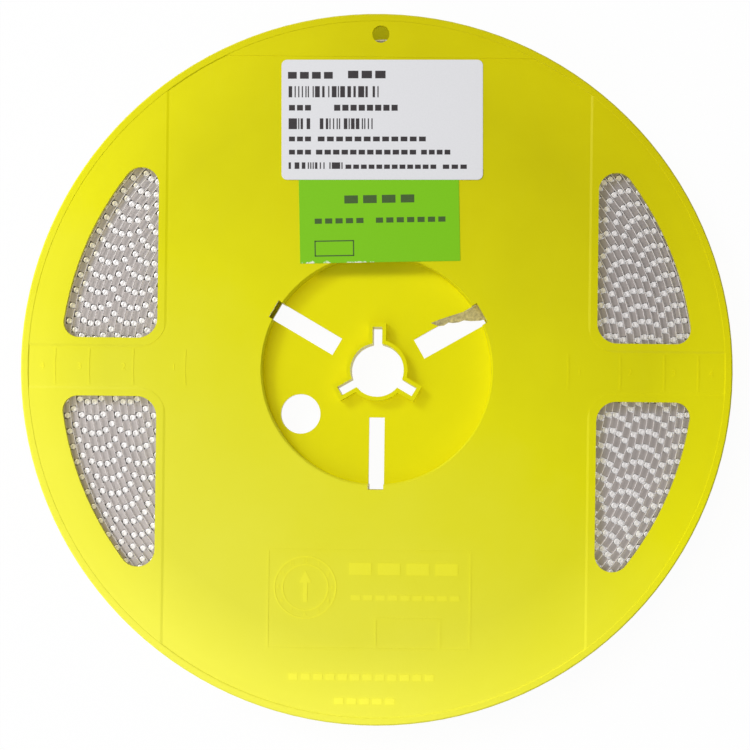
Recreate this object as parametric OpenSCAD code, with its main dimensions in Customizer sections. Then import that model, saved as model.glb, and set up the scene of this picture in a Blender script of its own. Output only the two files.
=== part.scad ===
// Seven inch plastic reel for 8 mm embossed carrier tape, wound full of small
// cylindrical glass diodes. The reel lies on its back flange, label side up.
// Origin: middle of the back rim's outer face. Millimetres, +Z up.

/* [Reel] */
// Outer diameter of both flanges
reel_d = 178; // [177:0.5:182]
// Thickness of a flange plate
flange_t = 1.3; // [1:0.1:2]
// Width of the winding channel between the flanges
channel_w = 8.7; // [8.4:0.1:9.9]
// Width of the raised rim bead
bead_w = 2; // [1.2:0.1:2.4]
// Height of the rim bead over the flange's outer face
bead_h = 0.25; // [0.2:0.05:0.6]
// Bevel on the rim's edges
rim_bevel = 0.35; // [0.1:0.05:0.5]

/* [Hub] */
// Diameter that the tape is wound on
hub_d = 60; // [58:0.5:62]
// Wall of the hub ring
hub_wall = 1.3; // [1.1:0.1:2]
// Thickness of one half's web
web_t = 1; // [0.8:0.1:1.6]
// How far the front half's lip laps over the back half's hub ring
lap_h = 0.8; // [0.4:0.1:1.2]
// Thickness of that lip
lap_t = 0.6; // [0.4:0.1:0.7]
// Clearance in the lap joint
lap_gap = 0.1; // [0.05:0.05:0.2]
// Bevel round the hub opening
hub_bevel = 0.4; // [0.1:0.1:0.8]

/* [Arbor] */
// Diameter of the arbor bore
arbor_d = 13.4; // [12.8:0.1:13.6]
// Width of the three key slots
key_w = 2.4; // [2:0.1:3]
// Radius at which a key slot ends
key_r = 10.8; // [9.75:0.05:11]
// Wall of the boss round the bore and keys
boss_wall = 1; // [0.8:0.1:1.4]
// Distance of the boss's end below the flange's outer face
boss_drop = 1.3; // [0.5:0.1:2.5]
// Diameter of the drive pin hole
drive_d = 10; // [8:0.5:11]
// Radius of the drive pin hole's centre
drive_r = 22.25; // [20:0.25:22.5]

/* [Web slots] */
// Radius at which the web slots start
slot_r = 11.8; // [11.5:0.1:14]
// Width of the slot at 30 degrees
slot_wide = 5.5; // [4.5:0.1:6]
// Width of the slot at 150 degrees
slot_mid = 4.8; // [4:0.1:6]
// Width of the slot at 270 degrees
slot_narrow = 3.9; // [3:0.1:5]

/* [Windows] */
// Distance of a window's straight inner edge from the middle line
window_x = 55; // [50:0.5:60]
// Half the width of the arm between two windows
window_y = 7.3; // [6:0.1:12]
// Width of the flange left outside a window
window_rim = 9.75; // [8:0.25:14]
// Corner radius at the pointed end
window_tip = 4.4; // [2:0.1:5]
// Corner radius next to the arm, inner side
window_corner = 5; // [2:0.1:6]
// Corner radius next to the arm, outer side
window_heel = 3.75; // [2:0.25:5]

/* [Face relief] */
// Height of the raised sectors round the windows
sector_h = 0.15; // [0.05:0.05:0.2]
// Margin of a raised sector round its window
sector_rim = 2.3; // [1.5:0.1:3]
// Width of the slope along a raised sector's straight edges
sector_slope = 0.6; // [0.2:0.1:1]
// Distance of the label field's top edge from the middle
field_top = 78.2; // [70:0.1:82]
// Height of the moulded lines
line_h = 0.12; // [0.05:0.01:0.2]
// Width of the moulded lines
line_w = 0.4; // [0.3:0.05:0.8]
// Length of the moulded scale lines
scale_l = 9; // [5:0.5:12]
// Width of the moulded panel
panel_w = 51; // [40:1:60]
// Height of the moulded panel
panel_l = 25; // [20:1:28]
// Distance of the panel's lower edge from the middle
panel_y = 70; // [66:1:74]
// Width of the small box in the panel
box_w = 16.5; // [8:0.5:24]
// Height of the small box in the panel
box_l = 8; // [4:0.5:12]
// Distance of the small box from the panel's right edge
box_edge = 7.5; // [2:0.5:12]
// Diameter of the small hole near the rim
lead_d = 4.3; // [3:0.1:5]

/* [Tape] */
// Width of the carrier tape
tape_w = 8; // [7.9:0.1:8.3]
// Thickness of the carrier tape
tape_t = 0.22; // [0.2:0.01:0.3]
// Thickness of the cover film
film_t = 0.06; // [0.05:0.01:0.1]
// Width of the cover film
film_w = 5.4; // [5:0.1:5.6]
// Distance from one pocket to the next along the tape
pocket_pitch = 4; // [2:2:4]
// Distance of the pocket row from the tape's front edge
pocket_edge = 2.75; // [2.7:0.01:2.8]
// Radial play of a diode between two turns
wind_play = 0.0555; // [0.04:0.0005:0.06]
// Distance from the hub to the pockets of the first turn
hub_gap = 2.689; // [2.5:0.001:2.8]
// How far the middle of the roll lies to the right of the hub's
roll_x = 0.47; // [-0.5:0.01:0.5]
// How far the middle of the roll lies above the hub's
roll_y = -1.24; // [-1.3:0.01:1.3]
// Distance outside the diodes' middle at which the pockets are evenly spaced
neutral = 0.35; // [0.2:0.01:0.8]
// Direction in which the tape starts on the hub
start_a = 30; // [0:5:355]

/* [Diodes] */
// Diameter of a diode
diode_d = 1.45; // [1.3:0.01:1.5]
// Length of a diode
diode_l = 3.5; // [3.3:0.1:3.7]
// Number of diodes in the tape
diode_count = 2500; // [1000:100:2500]
// Number of empty pockets at the hub end of the tape
empty_pockets = 40; // [30:1:60]
// Number of empty pockets at the outer end of the tape
leader_pockets = 100; // [80:10:120]

/* [Labels] */
// Thickness of both labels
label_t = 0.1; // [0.05:0.01:0.15]
// Width of the white label
white_w = 50.3; // [40:0.1:60]
// Height of the white label
white_l = 30; // [25:0.1:32]
// Corner radius of the white label
white_corner = 1.4; // [0.5:0.1:3]
// Distance of the white label's middle from the reel's
white_y = 62.5; // [60:0.1:63]
// Width of the green label
green_w = 40; // [30:0.1:44]
// Height of the green label
green_l = 22.6; // [20:0.1:24]
// How far the white label covers the green one
label_overlap = 2; // [1:0.1:4]

/* [Anchor tape] */
// Thickness of the strip that holds the tape's start
anchor_t = 0.1; // [0.05:0.05:0.2]
// Height of its end that is folded up against the tape
anchor_fold = 2.2; // [1:0.1:2.5]

/* [Hidden] */
$fn = 128;
cut = 1;                                   // overshoot of a cut past a face
reel_r = reel_d / 2;
hub_r = hub_d / 2;
well_r = hub_r - hub_wall;                 // hub opening
bead_r = reel_r - bead_w;
face_z = channel_w / 2 + flange_t;         // flange's outer face over the parting plane
half_h = face_z + bead_h;                  // parting plane to rim crest
boss_h = face_z - boss_drop;
window_r = reel_r - window_rim;
key_angles = [90, 210, 330];
drive_a = 210;
slots = [[30, slot_wide, -0.4], [150, slot_mid, 0], [270, slot_narrow, 0]];
scale_r = [48, 61, 72, 80.5];
lead_edge = 5.1;                           // from the rim to the small hole's middle
lead_r = reel_r - lead_edge;
panel_x = -1.2;
tape_z = half_h - channel_w / 2;           // the tape stands on the back flange
pocket_z = tape_z + tape_w - pocket_edge;
play_r = diode_d + wind_play;              // gap that a diode sits in
pitch = tape_t + film_t + play_r;          // growth of the winding in one turn
step = pitch / 4;                          // shift of the centre in each half turn
start_r = hub_r + hub_gap + play_r + step; // tape's inner face in the first half turn
rise = neutral - play_r / 2;               // evenly spaced line over the tape's inner face
first_r = start_r + rise - step;
label_z = half_h + face_z;
label_lean = 0.7;
label_x = 0.6;
green_lean = 1.7;
green_x = 0.2;
fold_play = 0.6;                           // room for the green label's leaning edge
anchor_gap = 0.06;                         // from the folded end to the tape's start
anchor_w = 4.2;                            // width of the strip at its folded end
fold_w = 1.6;                              // width of the folded end
fold_y = -3;
torn_edge = [                              // the strip's free edge, round from its upper side
    [30, 2.2], [26.8, 2.2], [22.9, 3], [20.3, 3.5], [17.6, 3.9], [19, 2.2], [20.2, 1.7],
    [21.6, 1.8], [22.4, 1.2], [23.8, 0.6], [25.2, 0.4], [26.6, -0.6], [28.8, -1.7]
];
green_y = white_y - white_l / 2 - green_l / 2 + label_overlap;
last_pocket = empty_pockets + diode_count - 1;
half_turns = 1 + half_turn_at((last_pocket + leader_pockets) * pocket_pitch);
filled_turns = 1 + floor(half_turn_at(last_pocket * pocket_pitch) / 2);
roll_r = inner_r(half_turns) + pitch;      // reaches past the last turn

function turn_name(t) = str("diodes_turn_", t < 10 ? "0" : "", t);

// Radius of the tape's inner face in half turn j, counted from 0
function inner_r(j) = start_r + j * pitch / 2;

// Length of tape wound before half turn j, along its evenly spaced line
function wound(j) = PI * j * (first_r + j * pitch / 4);

// Half turn on which a place lies, a length s from the tape's start
function half_turn_at(s) = floor((sqrt(first_r ^ 2 + pitch * s / PI) - first_r) * 2 / pitch);

// Every second half turn has its centre on the other side of the middle
function centre_x(j) = j % 2 == 0 ? -step : step;

// Direction of a place on half turn j, a length s from the tape's start
function wind_a(j, s) = (j % 2 == 0 ? 0 : 180)
    - (s - wound(j)) / (inner_r(j) + rise) * 180 / PI;

module polar(r, a) {
    rotate(a) translate([r, 0]) children();
}

module all_quadrants() {
    for (x = [0, 1], y = [0, 1]) mirror([x, 0]) mirror([0, y]) children();
}

// Takes a corner off down to the arc of radius r that touches both sides
module corner_waste(c, r, t1, tip, t2) {
    difference() {
        polygon([c, t1, tip, t2]);
        translate(c) circle(r);
    }
}

// One flange window: two straight edges and an arc along the rim
module window_2d() {
    tip = [window_x + window_tip, 0];
    tip_c = [tip.x, sqrt((window_r - window_tip) ^ 2 - tip.x ^ 2)];
    heel = [0, window_y + window_heel];
    heel_c = [sqrt((window_r - window_heel) ^ 2 - heel.y ^ 2), heel.y];
    corner_c = [window_x + window_corner, window_y + window_corner];
    difference() {
        intersection() {
            circle(window_r);
            translate([window_x, window_y]) square(reel_r);
        }
        corner_waste(tip_c, window_tip, [window_x - cut, tip_c.y],
            [window_x - cut, reel_r], tip_c * (window_r + cut) / norm(tip_c));
        corner_waste(heel_c, window_heel, [heel_c.x, window_y - cut],
            [reel_r, window_y - cut], heel_c * (window_r + cut) / norm(heel_c));
        corner_waste(corner_c, window_corner, [window_x - cut, corner_c.y],
            [window_x - cut, window_y - cut], [corner_c.x, window_y - cut]);
    }
}

// Raised sector round one window, without the window
module sector_2d() {
    x = window_x - sector_rim;
    y = window_y - sector_rim;
    r = window_corner + sector_rim;
    difference() {
        intersection() {
            circle(bead_r + bead_h);
            translate([x, y]) square(reel_r);
        }
        corner_waste([x + r, y + r], r, [x - cut, y + r], [x - cut, y - cut], [x + r, y - cut]);
    }
}

// Half plane from x = start on, with a sloped edge, in section
module slope_2d(start) {
    polygon([
        [start, -cut], [start, 0], [start + sector_slope, sector_h],
        [reel_r, sector_h], [reel_r, -cut]
    ]);
}

// Raised sector on a flange face at z = 0, with both straight edges sloped
module sector() {
    intersection() {
        translate([0, 0, -cut]) linear_extrude(cut + sector_h) sector_2d();
        rotate([90, 0, 0]) linear_extrude(2 * reel_r, center = true)
            slope_2d(window_x - sector_rim);
        rotate([90, 0, 90]) linear_extrude(2 * reel_r, center = true)
            slope_2d(window_y - sector_rim);
    }
}

// Raised cap over the label field
module cap_2d() {
    intersection() {
        circle(bead_r + bead_h);
        translate([sector_rim - window_x, field_top])
            square([2 * (window_x - sector_rim), reel_r]);
    }
}

// Bore with its key slots
module keyhole_2d() {
    circle(d = arbor_d);
    for (a = key_angles) rotate(a) translate([0, -key_w / 2]) square([key_r, key_w]);
}

module boss_2d() {
    key_block = key_w + 2 * boss_wall;
    circle(d = arbor_d + 2 * boss_wall);
    for (a = key_angles) rotate(a) translate([0, -key_block / 2])
        square([key_r + boss_wall, key_block]);
}

// Slots through the web, open to the winding through the hub ring
module slots_2d() {
    for (s = slots) rotate(s[0]) translate([slot_r, s[2] - s[1] / 2])
        square([hub_r - slot_r, s[1]]);
}

// Turned section of a half, from the parting plane up; lip_z is the outer lip's end
module section_2d(lip_r, lip_z) {
    polygon([
        [0, 0], [lip_r, 0], [lip_r, lip_z], [hub_r, lip_z],
        [hub_r, channel_w / 2],
        [reel_r - rim_bevel, channel_w / 2],
        [reel_r, channel_w / 2 + rim_bevel],
        [reel_r, half_h - rim_bevel],
        [reel_r - rim_bevel, half_h],
        [bead_r + bead_h, half_h],
        [bead_r, face_z],
        [well_r + hub_bevel, face_z],
        [well_r, face_z - hub_bevel],
        [well_r, web_t],
        [0, web_t]
    ]);
}

// One half of the reel with its parting plane at z = 0
module reel_half(lip_r, lip_z) {
    difference() {
        union() {
            rotate_extrude() section_2d(lip_r, lip_z);
            linear_extrude(boss_h) boss_2d();
            translate([0, 0, face_z]) all_quadrants() sector();
            translate([0, 0, face_z - cut]) linear_extrude(cut + sector_h) cap_2d();
        }
        translate([0, 0, -cut]) linear_extrude(half_h + 2 * cut) {
            all_quadrants() window_2d();
            keyhole_2d();
            polar(drive_r, drive_a) circle(d = drive_d);
        }
        translate([0, 0, -lap_h - cut]) linear_extrude(half_h + lap_h + 2 * cut) slots_2d();
    }
}

// Arc lines across the arms that show how full the reel is
module scale_2d() {
    for (r = scale_r) intersection() {
        difference() {
            circle(r + line_w / 2);
            circle(r - line_w / 2);
        }
        square([2 * reel_r, scale_l], center = true);
    }
}

// Outline of a frame whose lower left corner is at the origin
module frame_2d(w, l) {
    difference() {
        square([w, l]);
        translate([line_w, line_w]) square([w - 2 * line_w, l - 2 * line_w]);
    }
}

module panel_2d() {
    translate([panel_x - panel_w / 2, -panel_y]) {
        frame_2d(panel_w, panel_l);
        translate([panel_w - box_edge - box_w, 0]) frame_2d(box_w, box_l);
    }
}

module front_half() {
    color("gold") translate([0, 0, half_h]) difference() {
        union() {
            reel_half(hub_r - lap_t, -lap_h);
            translate([0, 0, face_z - cut]) linear_extrude(cut + line_h) {
                scale_2d();
                panel_2d();
            }
        }
        translate([0, lead_r, 0]) cylinder(d = lead_d, h = half_h + cut);
    }
}

module back_half() {
    color("gold") translate([0, 0, half_h]) mirror([0, 0, 1])
        reel_half(hub_r - lap_t - lap_gap, lap_h + lap_gap);
}

// Flat spiral of half rings, each with its centre a quarter pitch off the middle
module spiral_2d(inset, thick) {
    translate([roll_x, roll_y]) rotate(start_a) for (j = [0:1:half_turns - 1]) {
        r = inner_r(j) + inset;
        intersection() {
            translate([centre_x(j), 0]) difference() {
                circle(r + thick);
                circle(r);
            }
            translate([-roll_r, j % 2 == 0 ? -roll_r : 0]) square([2 * roll_r, roll_r]);
        }
    }
}

module carrier_tape() {
    color("rosybrown") translate([0, 0, tape_z]) linear_extrude(tape_w) spiral_2d(0, tape_t);
}

module cover_film() {
    color("gainsboro") translate([0, 0, pocket_z - film_w / 2])
        linear_extrude(film_w) spiral_2d(tape_t, film_t);
}

// Strip along the wide slot; its end is folded up against the start of the tape
module anchor_tape() {
    start_x = start_r - step + roll_x * cos(start_a) + roll_y * sin(start_a);
    reach = start_x - anchor_t - anchor_gap;
    color("tan") translate([0, 0, half_h + web_t]) rotate(start_a) {
        linear_extrude(anchor_t)
            polygon(concat([[reach, fold_y + anchor_w]], torn_edge, [[reach, fold_y]]));
        translate([reach, fold_y]) cube([anchor_t, fold_w, anchor_fold]);
    }
}

module diode() {
    cylinder(d = diode_d, h = diode_l, center = true);
}

// The diodes of one full turn, each across the tape in its pocket's place
module diodes_turn(t) {
    color("silver") translate([roll_x, roll_y, pocket_z]) rotate(start_a)
        for (j = [2 * t - 2, 2 * t - 1])
            for (m = [max(empty_pockets, ceil(wound(j) / pocket_pitch)) : 1 :
                      min(last_pocket, ceil(wound(j + 1) / pocket_pitch) - 1)])
                translate([centre_x(j), 0])
                    polar(inner_r(j) - play_r / 2, wind_a(j, m * pocket_pitch)) diode();
}

// Upper label; its lower edge steps up over the green label
module white_label() {
    low = -white_l / 2;
    fold = low + label_overlap + fold_play;
    color("white") translate([label_x, white_y, label_z]) rotate(label_lean) intersection() {
        linear_extrude(2 * label_t) rounded_2d(white_w, white_l, white_corner);
        rotate([90, 0, 90]) linear_extrude(white_w, center = true) polygon([
            [low, label_t], [fold, label_t], [fold, 0], [-low, 0], [-low, label_t],
            [fold + label_t, label_t], [fold + label_t, 2 * label_t], [low, 2 * label_t]
        ]);
    }
}

module rounded_2d(w, l, r) {
    square([w - 2 * r, l], center = true);
    square([w, l - 2 * r], center = true);
    for (x = [-1, 1], y = [-1, 1])
        translate([x * (w / 2 - r), y * (l / 2 - r)]) circle(r);
}

module green_label() {
    color("yellowgreen") translate([green_x, green_y, label_z]) rotate(green_lean)
        linear_extrude(label_t) square([green_w, green_l], center = true);
}

front_half();
back_half();
carrier_tape();
cover_film();
anchor_tape();
white_label();
green_label();
for (t = [1:1:filled_turns]) diodes_turn(t);
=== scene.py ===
"""Visual model of a tape reel: a moulded reel wound with carrier tape full of glass diodes."""

import math

import bmesh
import bpy
from mathutils import Matrix, Vector


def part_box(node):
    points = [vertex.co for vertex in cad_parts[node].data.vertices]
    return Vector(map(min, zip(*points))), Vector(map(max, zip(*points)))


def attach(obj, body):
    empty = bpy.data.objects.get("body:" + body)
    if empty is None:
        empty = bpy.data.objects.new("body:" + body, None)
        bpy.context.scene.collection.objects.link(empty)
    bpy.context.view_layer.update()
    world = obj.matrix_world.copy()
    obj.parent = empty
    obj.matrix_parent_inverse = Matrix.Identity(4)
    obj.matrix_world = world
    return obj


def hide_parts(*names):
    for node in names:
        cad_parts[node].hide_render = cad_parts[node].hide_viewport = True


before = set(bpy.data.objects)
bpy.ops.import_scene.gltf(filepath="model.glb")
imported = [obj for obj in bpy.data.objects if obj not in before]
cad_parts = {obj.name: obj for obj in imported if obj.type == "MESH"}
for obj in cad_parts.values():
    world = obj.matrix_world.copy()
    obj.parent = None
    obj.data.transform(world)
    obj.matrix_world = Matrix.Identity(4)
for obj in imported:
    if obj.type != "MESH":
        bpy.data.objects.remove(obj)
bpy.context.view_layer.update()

bl_info = {
    "name": "Tape reel",
    "version": (1, 0, 0),
    "blender": (4, 5, 0),
    "location": "View3D > Sidebar > Reel",
    "description": "Builds the pieces, finishes and stage of a wound tape reel",
    "category": "Object",
}

MM = 0.001
BODY = "root"
TURN_NODES = sorted(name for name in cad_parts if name.startswith("diodes_turn_"))
TAPE_LOW, TAPE_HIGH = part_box("carrier_tape")
DIODE_LOW, DIODE_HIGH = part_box(TURN_NODES[0])
DIODE_MIDDLE = (DIODE_LOW[2] + DIODE_HIGH[2]) / 2
FACE_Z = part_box("white_label")[0][2]      # outer face of the front flange
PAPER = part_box("green_label")[1][2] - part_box("green_label")[0][2]
REEL_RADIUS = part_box("front_half")[1][0]
MERGE = 1e-6                              # points nearer than this become one

# Moulded reel
SHEEN_WAY = (-0.5, -0.87, 0.0)            # way in which the painted sheen makes it paler
CLOUD_SHARE = 0.2                         # how far the flow clouds shift that
RIM_ZONE = (68 * MM, 84 * MM)             # painted light: radii between which the face is painted brighter
RIM_GAIN = 1.14                           # how much brighter it is painted from there on
SPACE_Z = (1.2 * MM, FACE_Z - 1.2 * MM)   # heights of the space that holds the tape
SPACE_R = (31 * MM, REEL_RADIUS - 0.5 * MM)  # radii of that space
SPACE_SHADE = 0.6                         # painted shade: how dark the plastic is painted there
PASSED_SHARE = 0.8                        # share of the light that comes through
RELIEF_PAINTED_LIFT = 1.06                        # painted highlight: how much paler the raised marks are painted

# Tape and diodes
PATH_FACETS = 36                          # sides of half a turn
SLIT_EDGE = 0.1 * MM                      # depth of the frosted cut edge
POCKET_PLAY = 0.01 * MM                   # gap from a pocket to the next turn
POCKET_CORNER = 0.35 * MM                 # rounding of a pocket's corners
WEB_REACH = 0.99                          # share of the tape that the webs enter
CAP_PLAY = 0.01 * MM                      # how far a cap stays inside its diode
CAP_BEVEL = 0.06 * MM
CAP_DIMPLE = 0.05 * MM
DIMPLE_SHARE = 0.62                       # dimple's radius as a share of the cap's
GLASS_INSET = 0.07 * MM                   # how far the glass lies under the caps
BAND_INSET = 0.06 * MM                    # how far the band does

# Labels. A row of marks: the first one's middle, right of and below the label's upper left
# corner, then the count, spacing, width and height, in mm, and the share that is printed.
INK = 0.01 * MM
LABEL_SIZES = {"white_label": (50.3, 30), "green_label": (40, 22.6)}
LABEL_LEAN = {"white_label": 0.7, "green_label": 1.7}  # degrees
SCUFF_DEPTH = 2.6 * MM
WHITE_ROWS = (
    (2.7, 3.9, 4, 3.0, 2.2, 1.7, 1.0), (17.9, 3.7, 3, 3.4, 2.6, 1.9, 1.0),
    (1.9, 8.0, 75, 0.3, 0.3, 2.8, 0.55),
    (2.6, 12.0, 3, 2.0, 1.5, 1.4, 1.0), (13.9, 12.0, 8, 2.05, 1.55, 1.5, 1.0),
    (1.9, 16.0, 70, 0.3, 0.3, 2.7, 0.55),
    (2.6, 19.8, 3, 2.0, 1.5, 1.2, 1.0), (9.9, 19.8, 12, 2.3, 1.7, 1.2, 1.0),
    (2.6, 23.1, 3, 2.0, 1.5, 1.2, 1.0), (9.4, 23.1, 12, 2.13, 1.6, 1.2, 1.0),
    (35.6, 23.1, 4, 1.95, 1.45, 1.2, 1.0),
    (1.9, 27.0, 46, 0.3, 0.3, 2.7, 0.6), (16.7, 27.0, 12, 1.93, 1.45, 1.6, 1.0),
    (41.1, 27.0, 3, 2.2, 1.6, 1.6, 1.0),
)
GREEN_ROWS = (
    (13.0, 6.8, 4, 4.7, 3.4, 2.0, 1.0),
    (4.7, 12.1, 5, 2.6, 1.8, 1.3, 1.0), (20.0, 12.1, 7, 2.6, 1.8, 1.3, 1.0),
)
FIRST_SEED = 3                            # seed of a label's first row
PRINT_SHADE = 0.12                        # green label's ink, as a share of its green
PRINTED_FRAME = (9.6, 3.7)                # width and height of its frame
FRAME_CORNER = (3.8, -20.8)               # its lower left corner
FRAME_LINE = 0.3

# Moulded relief, in mm but for its height. A row of bars is written as a row of marks is, from
# the middle of the reel.
RELIEF = 0.14 * MM
SCALE_NUMBERS = (50.7, 63.3, 74.3, 83.6)  # radius of each number beside the scale
SCALE_NUMBER_SIZE = 2.4
DIAL = (-17.2, -54.6)                     # middle of the date dial
DIAL_RINGS = (5.7, 7.7)
DIAL_LINE = 0.15                          # half the width of a ring
DIAL_SIDES = 64
DIAL_ARROW = ((0, 4.2), (-1.5, 1.2), (-0.5, 1.2), (-0.5, -3.6), (0.5, -3.6), (0.5, 1.2), (1.5, 1.2))
DIAL_NUMBERS = 6.7                        # radius of the circle of numbers
DIAL_NUMBER_SIZE = 1.3
MOULDED_BARS = (
    (-3.5, 49.8, 4, 7.2, 5.6, 3.0, 1.0), (-4.6, 57.0, 9, 3.1, 2.3, 1.3, 1.0),
    (-20.0, 76.9, 12, 3.1, 2.2, 1.6, 1.0), (-8.5, 82.9, 5, 3.2, 2.3, 1.5, 1.0),
)

# Stage
FLOOR_WHITE = 0.96                        # how white the floor looks to the eye
FLOOR_REACH = 2.0                         # half the side of the floor
ROOM_LIGHT = 0.25                         # light from all sides
LAMPS = (                                 # name, place, size and power
    ("key_lamp", (-0.9, 0.72, 1.2), 0.45, 20.0),
    ("low_lamp", (-0.35, -0.35, 0.55), 1.0, 3.1),
)
EYE = (20.29 * MM, -23.75 * MM)           # point over which the camera stands
EYE_DISTANCE = 490 * MM                   # its height above the flange
EYE_TURN = 0.7                            # how it is turned, in degrees
VIEW_WIDTH = 187.5 * MM                   # width that it takes in there
VIEW_SHIFT = (-0.109, 0.121)


# Sizes and colours that a user would change

def length(name, description, millimetres):
    """One size property, written in millimetres and kept in metres."""
    return bpy.props.FloatProperty(
        name=name, description=description, default=millimetres * MM, unit="LENGTH", precision=6)


def colour(name, description, code):
    """One colour property from an sRGB hex code."""
    return bpy.props.FloatVectorProperty(
        name=name, description=description, default=linear(code)[:3], subtype="COLOR",
        min=0.0, max=1.0)


def linear(code):
    """Linear RGBA of an sRGB hex code such as 'DCD70A'."""
    parts = [int(code[i:i + 2], 16) / 255 for i in (0, 2, 4)]
    return (*(c / 12.92 if c <= 0.04045 else ((c + 0.055) / 1.055) ** 2.4 for c in parts), 1.0)


class ReelTapeSizes(bpy.types.PropertyGroup):
    """Sizes of the wound tape and its pockets."""
    hub_radius: length("Hub radius", "Radius that the tape is wound on", 30)
    hub_gap: length("Hub gap", "Gap from the hub to the first turn's pockets", 2.689)
    tape_thickness: length("Tape thickness", "Thickness of the carrier tape", 0.22)
    film_thickness: length("Film thickness", "Thickness of the cover film", 0.06)
    play: length("Play", "Radial play of a diode between two turns", 0.0555)
    neutral: length("Even line", "Distance of the evenly spaced line outside the diodes", 0.35)
    roll_x: length("Roll X", "How far the roll's middle lies to the right of the hub's", 0.47)
    roll_y: length("Roll Y", "How far the roll's middle lies above the hub's", -1.24)
    pocket_pitch: length("Pocket pitch", "Distance from one pocket to the next", 4)
    pocket_width: length("Pocket width", "Outer width of a pocket along the tape", 1.6)
    pocket_length: length("Pocket length", "Outer length of a pocket across the tape", 4.1)
    web_length: length("Web length", "Length across the tape of the sheet between pockets", 3.4)
    start_angle: bpy.props.FloatProperty(
        name="Start angle", description="Direction in which the tape starts on the hub",
        default=math.radians(30), subtype="ANGLE")
    half_turns: bpy.props.IntProperty(
        name="Half turns", description="Number of half turns in the roll", default=57, min=1)
    empty_pockets: bpy.props.IntProperty(
        name="Empty pockets", description="Empty pockets at the hub end", default=40, min=0)


class ReelDiodeSizes(bpy.types.PropertyGroup):
    """Sizes of one diode."""
    count: bpy.props.IntProperty(
        name="Count", description="Number of diodes in the tape", default=2500, min=1)
    diameter: length("Diameter", "Diameter of the diode", 1.45)
    length: length("Length", "Length of the diode over both caps", 3.5)
    cap: length("Cap length", "Length of a metal end cap", 0.55)
    band: length("Band length", "Length of the printed band", 0.45)
    facets: bpy.props.IntProperty(
        name="Facets", description="Sides of the round parts", default=12, min=8)


class ReelFinishes(bpy.types.PropertyGroup):
    """Colours of the finishes."""
    plastic: colour("Plastic", "Moulded reel", "DFD900")
    plastic_pale: colour("Pale plastic", "Paler clouds in the moulded reel", "E5DF02")
    # Painted light: the label side's three colours run from shaded at the upper right to sheen at
    # the lower left.
    flange_far: colour("Flange, far side", "Label side of the flange, upper right", "C3BA00")
    flange_mid: colour("Flange, middle", "Label side of the flange, middle", "E1DD0A")
    flange_near: colour("Flange, near side", "Label side of the flange, lower left", "EBE84A")
    passed: colour("Passed light", "Light that comes through one face of the reel", "FFFADC")
    # Painted sheen: the tape between the pockets is painted paler towards the lower left.
    tape_far: colour("Tape, far side", "Tape between the pockets, upper right", "99908B")
    tape_mid: colour("Tape, middle", "Tape between the pockets, middle", "B6ACA7")
    tape_near: colour("Tape, near side", "Tape between the pockets, lower left", "C6BBB5")
    edge: colour("Tape edge", "Edge of the carrier tape", "EBE4E2")
    # Painted sheen: the caps are painted paler towards the lower left.
    cap_far: colour("Cap, far side", "Tinned end caps, upper right", "E4E1E0")
    cap_mid: colour("Cap, middle", "Tinned end caps, middle", "FEFCFB")
    cap_near: colour("Cap, near side", "Tinned end caps, lower left", "FFFDFB")
    glass: colour("Glass", "Glass body of the diodes", "B07F6C")
    paper: colour("Paper", "White label", "DFDFE2")
    green: colour("Green paper", "Green label", "7AC20A")
    ink: colour("Ink", "Print on both labels", "1C1519")
    core: colour("Paper core", "White core of scuffed label paper", "E4E6D7")
    anchor: colour("Adhesive strip", "Strip at the start of the tape", "DED294")


# Small helpers

def add(tree, kind, inputs=None, **settings):
    """Adds one node, sets its properties, and sets or links its inputs by name or number.

    An input is a value, another node's output, or another node, which gives its first output.
    """
    node = tree.nodes.new(kind)
    for key, value in settings.items():
        setattr(node, key, value)
    for key, value in (inputs or {}).items():
        if isinstance(value, bpy.types.Node):
            value = value.outputs[0]
        if isinstance(value, bpy.types.NodeSocket):
            tree.links.new(value, node.inputs[key])
        else:
            node.inputs[key].default_value = value
    return node


def paint(piece, material):
    """Gives a piece or a CAD node its one material."""
    piece.data.materials.clear()
    piece.data.materials.append(material)


def keep(piece):
    """Puts a finished piece in the scene, on the reel's one body."""
    bpy.context.collection.objects.link(piece)
    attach(piece, BODY)


def join(name, parts):
    """Joins parts of one material into one piece, and removes the parts."""
    form = bmesh.new()
    for part in parts:
        form.from_mesh(part.data)
    mesh = bpy.data.meshes.new(name)
    form.to_mesh(mesh)
    form.free()
    mesh.materials.append(parts[0].data.materials[0])
    for part in parts:
        bpy.data.objects.remove(part)
    return bpy.data.objects.new(name, mesh)


def point_mesh(name, places):
    """A mesh of loose points, each with the direction in which it is turned about Z."""
    mesh = bpy.data.meshes.new(name)
    mesh.from_pydata([place for place, _ in places], [], [])
    turn = mesh.attributes.new("turn", "FLOAT", "POINT")
    turn.data.foreach_set("value", [angle for _, angle in places])
    return mesh


def new_tree(name, **inputs):
    """An empty Geometry Nodes tree with a geometry input and the named inputs."""
    tree = bpy.data.node_groups.new(name, "GeometryNodeTree")
    tree.interface.new_socket("Geometry", in_out="INPUT", socket_type="NodeSocketGeometry")
    tree.interface.new_socket("Geometry", in_out="OUTPUT", socket_type="NodeSocketGeometry")
    for key, kind in inputs.items():
        tree.interface.new_socket(
            key.replace("_", " ").capitalize(), in_out="INPUT", socket_type="NodeSocket" + kind)
    start = tree.nodes.new("NodeGroupInput")
    return tree, start.outputs


def end_tree(tree, geometry, material):
    """Ends a tree in real geometry with its material."""
    real = add(tree, "GeometryNodeRealizeInstances", {"Geometry": geometry})
    painted = add(tree, "GeometryNodeSetMaterial", {"Geometry": real, "Material": material})
    add(tree, "NodeGroupOutput", {0: painted})
    return tree


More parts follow.
